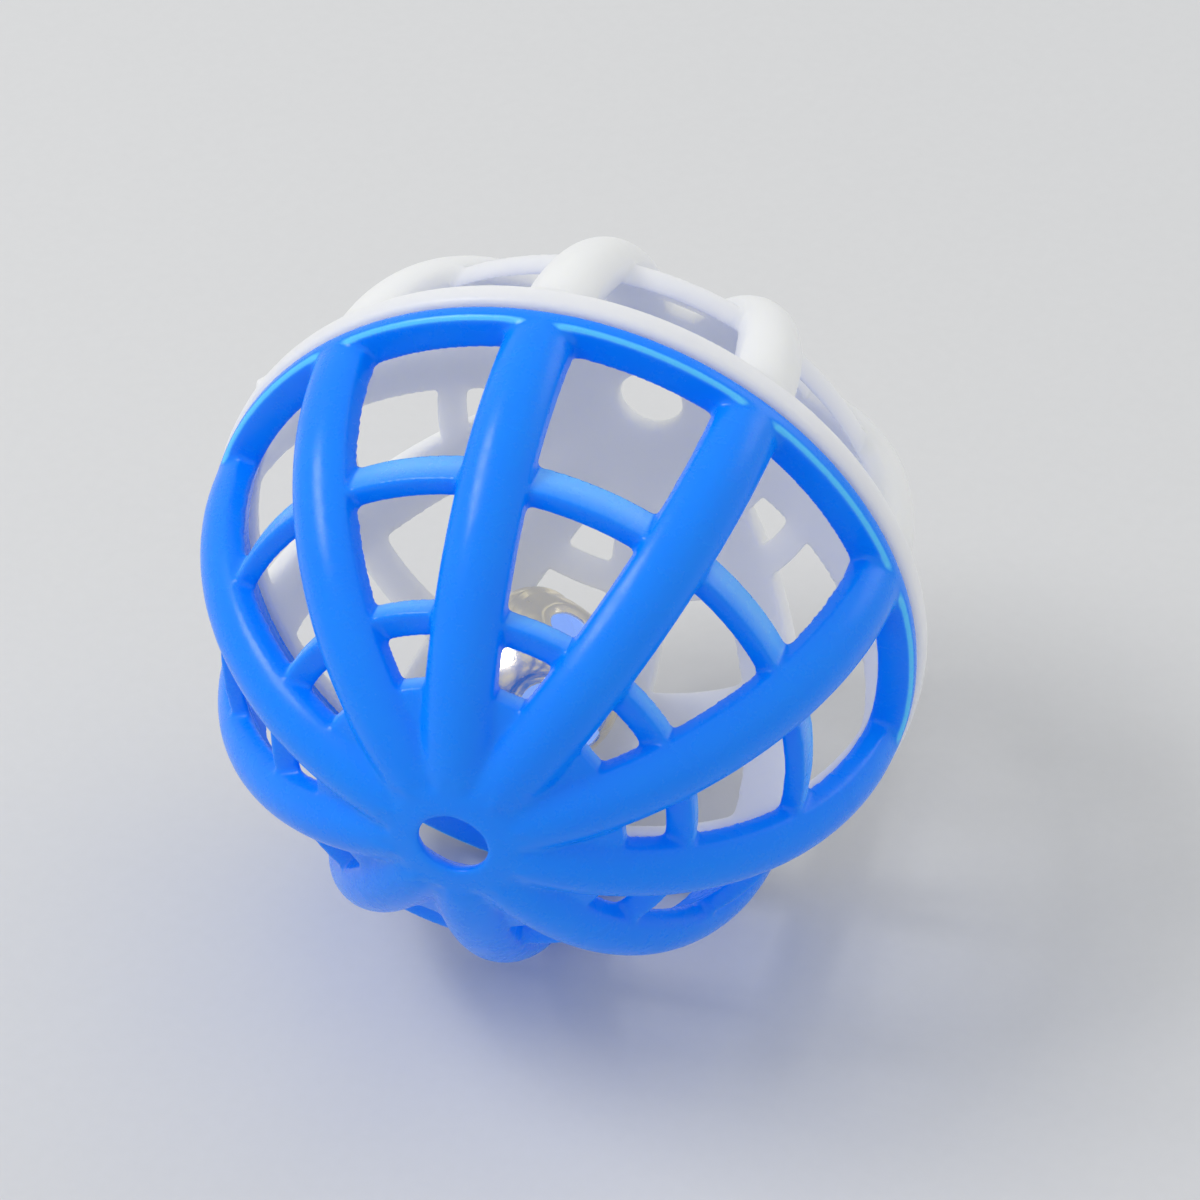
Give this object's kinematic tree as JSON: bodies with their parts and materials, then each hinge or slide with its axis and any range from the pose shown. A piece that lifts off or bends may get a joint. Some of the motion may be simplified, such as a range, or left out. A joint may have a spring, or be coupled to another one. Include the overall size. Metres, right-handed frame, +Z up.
{
  "type": "caged jingle ball",
  "caption": "Hollow two-colour plastic cage ball of two lattice halves that pull apart along the axis, with a loose metal jingle bell inside.",
  "frame": {"origin": "centre of the ball, on its axis, in the plane of the seam between the halves", "axes": "+Y along the axis from the front (blue) pole to the rear (white) pole, +Z up through a rib of each half, +X to the right seen from the front pole"},
  "size_m": [0.0606, 0.0593, 0.0606],
  "materials": {
    "blue_plastic": "moulded soft gloss, slightly translucent",
    "white_plastic": "moulded soft gloss, milky translucent",
    "bell_plate": "polished nickel plate on pressed sheet",
    "pellet_steel": "plain steel ball"
  },
  "bodies": {
    "rear_half": {"rear_cage": "white_plastic"},
    "front_half": {"front_cage": "blue_plastic"},
    "bell": {"bell_top_shell": "bell_plate", "bell_bottom_shell": "bell_plate", "bell_loop": "bell_plate"},
    "pellet": {"bell_pellet": "pellet_steel"}
  },
  "joints": [
    {"name": "front_pull", "type": "slide", "parent": "rear_half", "child": "front_half", "axis": [0, -1, 0], "range_m": [0, 0.035]},
    {"name": "bell_roll", "type": "hinge", "parent": "rear_half", "child": "bell", "pos_m": [0, 0, 0], "axis": [0, 1, 0], "continuous": true},
    {"name": "pellet_roll", "type": "hinge", "parent": "bell", "child": "pellet", "pos_m": [-0.00527, 0.0068, -0.01621], "axis": [0.9274, -0.2226, 0.3007], "continuous": true}
  ]
}
